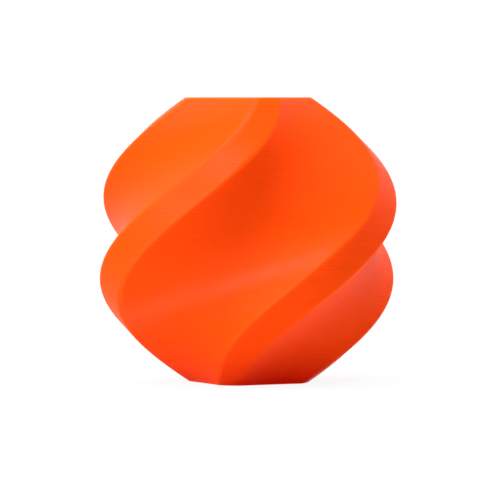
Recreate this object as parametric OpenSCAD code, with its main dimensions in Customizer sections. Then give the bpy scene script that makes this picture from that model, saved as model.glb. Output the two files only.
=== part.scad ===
// Twisted vase, printed in one piece.
// Four soft-edged ridges wind up a wall that swells from a small foot to a wide belly
// and closes in again to an open rim. Millimetres, +Z up, origin at the middle of the foot.

/* [Vase] */
// Height from the table to the rim
vase_h = 100; // [80:1:160]
// Height of the belly, the widest place, above the table
belly_h = 50; // [35:1:65]
// Radius at the belly, out to the ridges
belly_r = 57.3; // [45:0.1:70]
// Radius at the foot, out to the ridges
foot_r = 21.4; // [18:0.1:40]
// Radius at the rim, out to the ridges
rim_r = 22.5; // [18:0.1:40]

/* [Ridges] */
// Number of ridges round the vase
ridge_count = 4; // [3:1:6]
// Turn that a ridge makes from the foot to the rim, in degrees
twist_angle = 125.5; // [0:0.1:200]
// Place of the first ridge at the foot, in degrees from +X towards +Y
start_angle = -18.1; // [-60:0.1:60]
// Width of a ridge's outer face at the belly
ridge_w = 19.2; // [13:0.1:24]
// Height that a ridge's outer face bows out from flat at the belly
ridge_bow = 0.25; // [0.1:0.05:1.2]
// Length that the soft edge of a ridge takes off the faces on both sides of it
edge_soft = 1.7; // [0.4:0.1:2.4]
// Depth that the faces between the ridges hollow in at the belly
hollow_belly = 2.5; // [0:0.05:5]
// Depth that the faces between the ridges hollow in at the foot and the rim
hollow_end = 0.35; // [0:0.05:1]

/* [Wall] */
// Thickness of the wall, measured level, as it is printed layer by layer
wall_t = 1.2; // [0.8:0.1:2.4]
// Thickness of the floor
floor_t = 1.6; // [0.8:0.1:4]

/* [Hidden] */

// Fineness of the surface
level_steps = 44;   // steps up the wall, on either side of it
face_steps = 6;     // steps across each face between two ridges
edge_steps = 3;     // steps round each soft edge

print_orange = [0.98, 0.30, 0.05];

// Angle from one ridge to the next
pitch = 360 / ridge_count;
// Half of the angle that a ridge's outer face takes up
ridge_half = asin(ridge_w / 2 / belly_r);
// Points of one ridge and the face after it: two edges, the bow between them, the hollow
lobe_points = face_steps + 2;

function polar(r, a) = r * [cos(a), sin(a)];
function unit(v) = v / norm(v);

// How far a height is from the belly: 0 at the belly, 1 at the foot or the rim
function reach(z) = z < belly_h ? (belly_h - z) / belly_h : (z - belly_h) / (vase_h - belly_h);

// A size at a height, from its value at the belly and at the end, along a parabola
function swell(z, at_belly, at_end) = at_belly - (at_belly - at_end) * pow(reach(z), 2);

// Radius out to the ridges at a height
function ridge_r(z) = swell(z, belly_r, z < belly_h ? foot_r : rim_r);

// Turn of the first ridge at a height: the twist is even all the way up
function ridge_turn(z) = start_angle + twist_angle * z / vase_h;

// Sharp outline at a height: each ridge's outer face, then the hollow face that leads to the next
function sharp_outline(z) =
    let (r = ridge_r(z), bow = ridge_bow * r / belly_r, hollow = swell(z, hollow_belly, hollow_end))
    [for (k = [0 : ridge_count - 1])
        let (a = ridge_turn(z) + k * pitch,
             near_edge = polar(r, a - ridge_half),
             far_edge = polar(r, a + ridge_half),
             next_edge = polar(r, a + pitch - ridge_half))
        each [
            near_edge,
            polar(r * cos(ridge_half) + bow, a),
            far_edge,
            for (i = [1 : face_steps - 1])
                let (t = i / face_steps)
                far_edge * (1 - t) + next_edge * t - polar(4 * t * (1 - t) * hollow, a + pitch / 2)
        ]];

// The outline moved in by a distance, with every run kept parallel to itself
function moved_in(outline, distance) =
    let (n = len(outline))
    [for (i = [0 : n - 1])
        let (before = unit(outline[i] - outline[(i + n - 1) % n]),
             after = unit(outline[(i + 1) % n] - outline[i]),
             inward = [-before.y - after.y, before.x + after.x])
        outline[i] + inward * 2 * distance / (inward * inward)];

// Place beside a corner where its soft edge starts, at most nine tenths of the way to the next point
function edge_end(corner, next) =
    corner + unit(next - corner) * min(edge_soft, 0.9 * norm(next - corner));

// The outline with the two edges of every ridge rounded off by a short curve
function soft_edged(outline) =
    let (n = len(outline))
    [for (i = [0 : n - 1])
        let (corner = outline[i],
             from = edge_end(corner, outline[(i + n - 1) % n]),
             to = edge_end(corner, outline[(i + 1) % n]),
             is_edge = i % lobe_points == 0 || i % lobe_points == 2)
        each is_edge
            ? [for (j = [0 : edge_steps])
                let (t = j / edge_steps)
                from * pow(1 - t, 2) + corner * 2 * t * (1 - t) + to * pow(t, 2)]
            : [corner]];

// One level of the surface as points in space
function level(z, inset) = [for (p = soft_edged(moved_in(sharp_outline(z), inset))) [p.x, p.y, z]];

// Heights of the levels, evenly spaced
function heights(from, to) = [for (i = [0 : level_steps]) from + (to - from) * i / level_steps];

// A closed skin over a stack of levels with as many points in each, in two triangles per step
module skin(levels) {
    n = len(levels[0]);
    last = len(levels) - 1;
    sides = [for (j = [0 : last - 1], i = [0 : n - 1])
        let (a = j * n + i, b = j * n + (i + 1) % n)
        each [[a, a + n, b], [b, a + n, b + n]]];
    start_cap = [for (i = [0 : n - 1]) i];
    end_cap = [for (i = [n - 1 : -1 : 0]) last * n + i];
    polyhedron([for (l = levels) each l], concat([start_cap], sides, [end_cap]), convexity = 6);
}

// The whole vase: up the outside, over the rim and down the inside to the floor
module vase() {
    outside = [for (z = heights(0, vase_h)) level(z, 0)];
    inside = [for (z = heights(vase_h, floor_t)) level(z, wall_t)];
    color(print_orange) skin(concat(outside, inside));
}

vase();
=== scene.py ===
import math

import bpy
import numpy as np
from mathutils import Matrix, Vector


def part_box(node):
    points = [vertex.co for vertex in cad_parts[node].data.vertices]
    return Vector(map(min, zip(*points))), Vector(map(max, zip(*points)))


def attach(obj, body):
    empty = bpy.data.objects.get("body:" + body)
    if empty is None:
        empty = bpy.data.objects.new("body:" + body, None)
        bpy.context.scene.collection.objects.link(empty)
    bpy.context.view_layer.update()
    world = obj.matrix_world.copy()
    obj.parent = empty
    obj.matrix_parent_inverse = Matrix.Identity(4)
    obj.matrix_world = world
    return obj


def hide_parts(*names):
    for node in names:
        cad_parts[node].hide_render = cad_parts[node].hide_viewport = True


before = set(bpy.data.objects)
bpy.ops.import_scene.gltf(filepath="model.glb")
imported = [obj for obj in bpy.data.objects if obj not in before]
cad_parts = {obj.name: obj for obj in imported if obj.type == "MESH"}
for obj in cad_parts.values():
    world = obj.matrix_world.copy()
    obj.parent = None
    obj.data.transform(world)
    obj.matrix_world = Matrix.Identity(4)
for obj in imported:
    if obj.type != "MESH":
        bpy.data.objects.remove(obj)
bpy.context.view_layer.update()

# A twisted vase, printed in one piece from orange plastic. Lengths are in millimetres here and
# become metres when a mesh is made. +Z is up and the front view looks along +Y.
MM = 0.001
foot_low, rim_high = (corner.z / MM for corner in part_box("vase"))

# ---- the vase's own sizes ----
VASE_H = rim_high - foot_low
BELLY_H = VASE_H / 2        # height of the widest place
BELLY_R = 57.3              # radius out to the ridges, at the belly, the foot and the rim
FOOT_R = 21.4
RIM_R = 22.5
RIDGES = 4
TWIST = math.radians(125.5)         # turn of a ridge from foot to rim
RIDGE_START = math.radians(-18.1)   # place of the first ridge at the foot
RIDGE_W = 19.2              # width of a ridge's outer face at the belly
RIDGE_BOW = 0.25            # how far that face bows out
EDGE_SOFT = 1.7             # what the soft edge takes off the faces beside it
HOLLOW_BELLY = 2.5          # depth of the faces between the ridges, at the belly and at the ends
HOLLOW_END = 0.35
WALL = 1.2                  # thickness of the wall, measured level, and of the floor
FLOOR = 1.6

# ---- the print's grain ----
LAYER = 0.2                 # height of one printed layer
ROAD = 0.45                 # width of one line of the floor
RIPPLE = 0.88               # height of the fine streaks that the layers gather into
RELIEF = 0.016              # depth of the beads and streaks
ROAD_RELIEF = 3             # how many times deeper the lines of the floor are
DRIFT = 22                  # how far the streaks wander, in radians
DRIFT_GRAIN = (260, 45, 45)         # fineness of that wandering up the wall and around it
GLOSS_ROUGHNESS = 0.49
ROUGHNESS_STREAK = 0.09     # how far the streaks change the roughness
THROUGH_SHARE = 0.35        # share of the light that comes through the wall
EDGE_HIGHLIGHT_STARTS = 0.503       # pointiness at which the painted highlight on an edge starts, and is strongest
EDGE_HIGHLIGHT_FULL = 0.535
EDGE_HIGHLIGHT_SHARE = 0.7          # how much of the painted highlight colour the sharpest edge takes
LEVEL_FACE = 0.9            # a face is flat where its normal rises more than this

# The gloss of a printed wall spreads up and down, across its layers. Gloss spreads along a mesh's
# own X where its texture space is far off along its own Y, so the mesh lies with its X upright.
ON_ITS_SIDE = Matrix(((0, 1, 0, 0), (0, 0, 1, 0), (1, 0, 0, 0), (0, 0, 0, 1)))
FAR = 1000                  # how far off that is, in metres
GRAIN_LEAN = math.radians(10)       # lean of the gloss from upright

# ---- how far the skin stays inside the solid part ----
SHY = 0.035                 # at the ridges' corners
HAIR = 0.005                # at the foot and the rim

# ---- fineness of the skin ----
LEVELS = 200                # steps up each side of the wall
BOW_STEPS = 8               # steps across a ridge's outer face
EDGE_STEPS = 8              # steps round each soft edge
FACE_STEPS = 30             # steps across the face between two ridges
MOST_CUT = 0.45             # the largest share of a face that a soft edge takes off each end
SHARP = math.radians(35)    # faces that meet at a larger angle keep a sharp edge


def swell(z, at_belly, at_end):
    """A size at a height: at_belly at the belly, and at_end at the foot or the rim, on a parabola."""
    reach = (z - BELLY_H) / BELLY_H
    return at_belly - (at_belly - at_end) * reach ** 2


def polar(radius, angle):
    return np.array([radius * math.cos(angle), radius * math.sin(angle)])


def face_line(near, far, bulge, steps):
    """A face between two corners, bowed by bulge, without the ends that its soft edges take off."""
    cut = min(EDGE_SOFT / np.linalg.norm(far - near), MOST_CUT)
    along = np.linspace(cut, 1 - cut, steps + 1)[:, None]
    return near * (1 - along) + far * along + 4 * along * (1 - along) * bulge


def soft_edge(start, corner, end):
    """Points of a soft edge, between the end of one face and the start of the next."""
    along = np.linspace(0, 1, EDGE_STEPS + 1)[1:-1, None]
    return (1 - along) ** 2 * start + 2 * along * (1 - along) * corner + along ** 2 * end


def moved_in(outline, distance):
    """The outline moved in by a distance, with every run kept parallel to itself."""
    before = outline - np.roll(outline, 1, axis=0)
    after = np.roll(outline, -1, axis=0) - outline
    before /= np.linalg.norm(before, axis=1)[:, None]
    after /= np.linalg.norm(after, axis=1)[:, None]
    inward = np.stack([-before[:, 1] - after[:, 1], before[:, 0] + after[:, 0]], axis=1)
    return outline + inward * 2 * distance / (inward ** 2).sum(axis=1)[:, None]


def outline_at(z, inset):
    """The wall's outline at a height: the ridges' faces, the hollowed faces and the soft edges between."""
    radius = swell(z, BELLY_R, FOOT_R if z < BELLY_H else RIM_R) - SHY
    half = math.asin(RIDGE_W / 2 / BELLY_R)
    pitch = 2 * math.pi / RIDGES
    corners, faces = [], []
    for k in range(RIDGES):
        middle = RIDGE_START + TWIST * z / VASE_H + k * pitch
        near, far = polar(radius, middle - half), polar(radius, middle + half)
        following = polar(radius, middle + pitch - half)
        bow = polar(RIDGE_BOW * radius / BELLY_R, middle)
        hollow = polar(-swell(z, HOLLOW_BELLY, HOLLOW_END), middle + pitch / 2)
        corners += [far, following]
        faces += [face_line(near, far, bow, BOW_STEPS), face_line(far, following, hollow, FACE_STEPS)]
    pieces = []
    for i, face in enumerate(faces):
        following = faces[(i + 1) % len(faces)]
        pieces += [face, soft_edge(face[-1], corners[i], following[0])]
    return moved_in(np.concatenate(pieces), inset)


def level(z, inset):
    """One level of the skin, as points in space."""
    flat = outline_at(z, inset)
    return np.column_stack([flat, np.full(len(flat), z)])


def skin(name, levels):
    """A closed mesh over a stack of levels with as many points in each."""
    count = len(levels[0])
    points = np.concatenate(levels) * MM
    faces = []
    for j in range(len(levels) - 1):
        low, high = j * count, (j + 1) * count
        for i in range(count):
            k = (i + 1) % count
            faces.append((low + i, low + k, high + k, high + i))
    last = (len(levels) - 1) * count
    faces.append(tuple(range(count - 1, -1, -1)))
    faces.append(tuple(last + i for i in range(count)))
    mesh = bpy.data.meshes.new(name)
    mesh.from_pydata(points.tolist(), [], faces)
    mesh.transform(ON_ITS_SIDE.inverted())
    mesh.update()
    mesh.use_auto_texspace = False
    mesh.texspace_location = (-FAR * math.sin(GRAIN_LEAN), FAR * math.cos(GRAIN_LEAN), 0)
    mesh.texspace_size = (1, 1, 1)
    piece = bpy.data.objects.new(name, mesh)
    piece.matrix_world = ON_ITS_SIDE
    bpy.context.scene.collection.objects.link(piece)
    return piece


# ---- shader maths ----
class Wire:
    """A shader socket that Python's operators work on."""

    def __init__(self, finish, socket):
        self.finish = finish
        self.socket = socket

    def maths(self, operation, *values):
        return self.finish.node("Math", {"operation": operation}, dict(enumerate(values)))[0]

    def __add__(self, other):
        return self.maths("ADD", self, other)

    def __sub__(self, other):
        return self.maths("SUBTRACT", self, other)

    def __rsub__(self, other):
        return self.maths("SUBTRACT", other, self)

    def __mul__(self, other):
        return self.maths("MULTIPLY", self, other)

    __radd__ = __add__
    __rmul__ = __mul__

    def __abs__(self):
        return self.maths("ABSOLUTE", self)


class Made:
    """A node whose outputs are taken by name or number, as wires."""

    def __init__(self, finish, node):
        self.finish = finish
        self.made = node

    def __getitem__(self, key):
        return Wire(self.finish, self.made.outputs[key])


class Finish:
    """The nodes of a material or of the world."""

    def __init__(self, owner):
        self.owner = owner
        owner.use_nodes = True
        self.tree = owner.node_tree
        self.tree.nodes.clear()

    def node(self, kind, settings=None, sockets=None):
        """A node of a kind, with its settings and then the values or wires of its sockets."""
        made = self.tree.nodes.new("ShaderNode" + kind)
        for key, value in (settings or {}).items():
            setattr(made, key, value)
        for key, value in (sockets or {}).items():
            if isinstance(value, Wire):
                self.tree.links.new(value.socket, made.inputs[key])
            else:
                made.inputs[key].default_value = value
        return Made(self, made)

    def blend(self, share, first, second):
        """A colour between two colours."""
        return self.node("Mix", {"data_type": "RGBA"}, {0: share, 6: first, 7: second})[2]


def paint(red, green, blue):
    """A colour from its 0 to 255 values on a screen."""
    def linear(part):
        part /= 255
        return part / 12.92 if part <= 0.04045 else ((part + 0.055) / 1.055) ** 2.4
    return (linear(red), linear(green), linear(blue), 1.0)


WHITE = paint(255, 255, 255)
PLASTIC_DEEP = paint(249, 79, 3)
PLASTIC_PALE = paint(252, 87, 6)
# a painted highlight for the ridges' soft edges, where they catch the gloss
PAINTED_EDGE_HIGHLIGHT = paint(255, 122, 24)
PLASTIC_GLOW = paint(255, 40, 0)


def beads(across):
    """Round-backed beads side by side, one to each whole number of across."""
    place = across.maths("FRACT", across) * 2 - 1
    return 1 - place * place


def printed_wall():
    """Satin orange plastic laid down in level layers, with a painted highlight on the ridges' edges."""
    finish = Finish(bpy.data.materials.new("printed_wall"))
    place = finish.node("TexCoord")["Object"]
    parts = finish.node("SeparateXYZ", {}, {0: place})
    height = parts["X"]
    bead = beads(height * (1 / (LAYER * MM)))
    road = beads((parts["Y"] + parts["Z"]) * (math.sqrt(0.5) / (ROAD * MM)))
    facing = finish.node("SeparateXYZ", {}, {0: finish.node("TexCoord")["Normal"]})
    is_flat = height.maths("GREATER_THAN", abs(facing["X"]), LEVEL_FACE)
    is_floor = is_flat * height.maths("LESS_THAN", height, 2 * FLOOR * MM)
    drawn_out = finish.node("Mapping", {}, {"Vector": place, "Scale": DRIFT_GRAIN})[0]
    drift = finish.node("TexNoise", {}, {"Vector": drawn_out, "Scale": 1.0, "Detail": 2.0})[0]
    ripple = height.maths("SINE", height * (2 * math.pi / (RIPPLE * MM)) + drift * DRIFT)
    # painted highlight: the ridges' soft edges get a lighter colour, more of it where the edge is sharper
    edge = finish.node("MapRange", {}, {
        "Value": finish.node("NewGeometry")["Pointiness"],
        "From Min": EDGE_HIGHLIGHT_STARTS, "From Max": EDGE_HIGHLIGHT_FULL,
        "To Min": 0.0, "To Max": EDGE_HIGHLIGHT_SHARE})[0]
    plain = finish.blend(0.5 + 0.5 * ripple, PLASTIC_DEEP, PLASTIC_PALE)
    colour = finish.blend(edge, plain, PAINTED_EDGE_HIGHLIGHT)
    relief = (bead + ripple) * (1 - is_flat) + road * is_floor * ROAD_RELIEF
    bump = finish.node("Bump", {}, {
        "Strength": 1.0, "Distance": RELIEF * MM, "Height": relief})[0]
    shader = finish.node("BsdfPrincipled", {}, {
        "Base Color": colour,
        "Roughness": GLOSS_ROUGHNESS + ROUGHNESS_STREAK * ripple,
        "Anisotropic": 1.0,
        "IOR": 1.15,
        "Normal": bump})[0]
    through = finish.node("BsdfTranslucent", {}, {"Color": PLASTIC_GLOW, "Normal": bump})[0]
    both = finish.node("MixShader", {}, {0: THROUGH_SHARE, 1: shader, 2: through})[0]
    finish.node("OutputMaterial", {}, {"Surface": both})
    return finish.owner


# ---- the vase ----
def make_vase():
    rise = np.linspace(HAIR, VASE_H - HAIR, LEVELS + 1)
    outside = [level(z, 0) for z in rise]
    inside = [level(z, WALL) for z in np.linspace(VASE_H - HAIR, FLOOR, LEVELS + 1)]
    vase = skin("vase_print", outside + inside)
    vase.data.materials.append(printed_wall())
    for face in vase.data.polygons:
        face.use_smooth = True
    vase.data.set_sharp_from_angle(angle=SHARP)
    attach(vase, "root")
    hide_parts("vase")


make_vase()

# ---- camera ----
FRAME_SIDE = 492            # pixels along each side of the picture
PIXELS_PER_RADIAN = 4200    # how far off the camera is, in pixels
RIM_ROW = 97.3              # row that the camera is level with
AXIS_COLUMN = 248.3         # column of the vase's axis
VASE_ROWS = 284.7           # rows between the rim and the foot


def make_camera():
    mm_per_pixel = VASE_H / VASE_ROWS
    distance = PIXELS_PER_RADIAN * mm_per_pixel
    middle = FRAME_SIDE / 2
    camera = bpy.data.cameras.new("camera")
    camera.sensor_fit = "HORIZONTAL"
    camera.angle = 2 * math.atan(middle / PIXELS_PER_RADIAN)
    camera.clip_start = 0.05
    camera.clip_end = 60
    stand = bpy.data.objects.new("camera", camera)
    bpy.context.scene.collection.objects.link(stand)
    side = (middle - AXIS_COLUMN) * mm_per_pixel
    stand.location = Vector((side, -distance, VASE_H)) * MM
    stand.rotation_euler = (math.pi / 2 - math.atan((middle - RIM_ROW) / PIXELS_PER_RADIAN), 0, 0)
    bpy.context.scene.camera = stand


make_camera()


# ---- light and floor, in metres ----
LAMP_DISTANCE = 1.3         # from the vase's middle to each lamp
ROOM_LIGHT = 0.05           # light of the room around the vase
FLOOR_REACH = 8.0           # from the vase to each side of the floor
SHADOW_NEAR = 0.08          # how far from the vase's axis its shadow starts to fade, and is gone
SHADOW_FAR = 0.4
SHADOW_SHARE = 0.08         # how much of the floor's real shade is shown beside the vase


def toward(azimuth, elevation, distance):
    """A place seen from the vase's middle: azimuth 0 is the front, and positive is to the right of it."""
    turn, lift = math.radians(azimuth - 90), math.radians(elevation)
    flat = distance * math.cos(lift)
    return Vector((flat * math.cos(turn), flat * math.sin(turn), distance * math.sin(lift)))


def softbox(name, azimuth, elevation, width, height, amount):
    """A soft lamp aimed at the vase; amount 1 would show a facing colour as it is written."""
    lamp = bpy.data.lights.new(name, "AREA")
    lamp.shape = "RECTANGLE"
    lamp.size, lamp.size_y = width, height
    lamp.energy = amount * (math.pi * LAMP_DISTANCE) ** 2
    stand = bpy.data.objects.new(name, lamp)
    bpy.context.scene.collection.objects.link(stand)
    middle = Vector((0, 0, BELLY_H * MM))
    stand.location = middle + toward(azimuth, elevation, LAMP_DISTANCE)
    stand.rotation_euler = (middle - stand.location).to_track_quat("-Z", "Y").to_euler()
    stand.visible_camera = False


def matte_only(name, *place):
    """A lamp that lights the plastic and doesn't show in its gloss."""
    softbox(name, *place)
    bpy.data.objects[name].visible_glossy = False


def gloss_only(name, *place):
    """A lamp that only shows in the gloss."""
    softbox(name, *place)
    bpy.data.objects[name].visible_diffuse = False


def seen_as_is(rays):
    """1 for the camera and for what gloss and clear pieces show, 0 for the light on the vase."""
    return rays["Is Camera Ray"] + rays["Is Glossy Ray"] + rays["Is Transmission Ray"]


def make_world():
    world = bpy.data.worlds.new("studio")
    bpy.context.scene.world = world
    finish = Finish(world)
    rays = finish.node("LightPath")
    dim = finish.node("Background", {}, {"Color": WHITE, "Strength": ROOM_LIGHT})[0]
    white = finish.node("Background", {}, {"Color": WHITE, "Strength": 1.0})[0]
    shown = finish.node("MixShader", {}, {0: seen_as_is(rays), 1: dim, 2: white})[0]
    finish.node("OutputWorld", {}, {"Surface": shown})


def make_floor():
    """A pale floor that shows white to the camera and keeps the vase's soft shadow."""
    mesh = bpy.data.meshes.new("floor")
    quarters = ((-1, -1), (1, -1), (1, 1), (-1, 1))
    corners = [(FLOOR_REACH * right, FLOOR_REACH * back, 0) for right, back in quarters]
    mesh.from_pydata(corners, [], [(0, 1, 2, 3)])
    floor = bpy.data.objects.new("floor", mesh)
    bpy.context.scene.collection.objects.link(floor)
    finish = Finish(bpy.data.materials.new("pale_floor"))
    rays = finish.node("LightPath")
    place = finish.node("TexCoord")["Object"]
    away = finish.node("VectorMath", {"operation": "LENGTH"}, {0: place})["Value"]
    shadow_share = finish.node("MapRange", {"interpolation_type": "SMOOTHSTEP"}, {
        "Value": away, "From Min": SHADOW_NEAR, "From Max": SHADOW_FAR,
        "To Min": SHADOW_SHARE, "To Max": 0.0})[0]
    dull = finish.node("BsdfDiffuse", {}, {"Color": paint(232, 232, 232)})[0]
    pale = finish.node("BsdfDiffuse", {}, {"Color": paint(250, 250, 250)})[0]
    glow = finish.node("Emission", {}, {"Color": WHITE, "Strength": 1.0})[0]
    shown = finish.node("MixShader", {}, {0: shadow_share, 1: glow, 2: pale})[0]
    both = finish.node("MixShader", {}, {0: seen_as_is(rays), 1: dull, 2: shown})[0]
    finish.node("OutputMaterial", {}, {"Surface": both})
    mesh.materials.append(finish.owner)


# Each lamp's azimuth and elevation in degrees, its width and height in metres, and its amount
matte_only("top", 0, 89, 1.2, 1.2, 1.35)
matte_only("key_high", -60, 50, 0.3, 0.8, 1.0)
matte_only("key_low", -80, 6, 0.3, 0.26, 0.62)
softbox("rim_right", 110, 60, 0.8, 0.5, 0.36)
gloss_only("strip", -31, 20, 0.2, 0.4, 2.9)
gloss_only("ridge_sheen", -66, 40, 0.3, 0.6, 0.6)
gloss_only("left_sheen", -90, 60, 0.8, 0.6, 1.15)
gloss_only("back_sheen", 140, 30, 0.9, 0.7, 0.28)
make_world()
make_floor()
bpy.context.scene.view_settings.view_transform = "Standard"
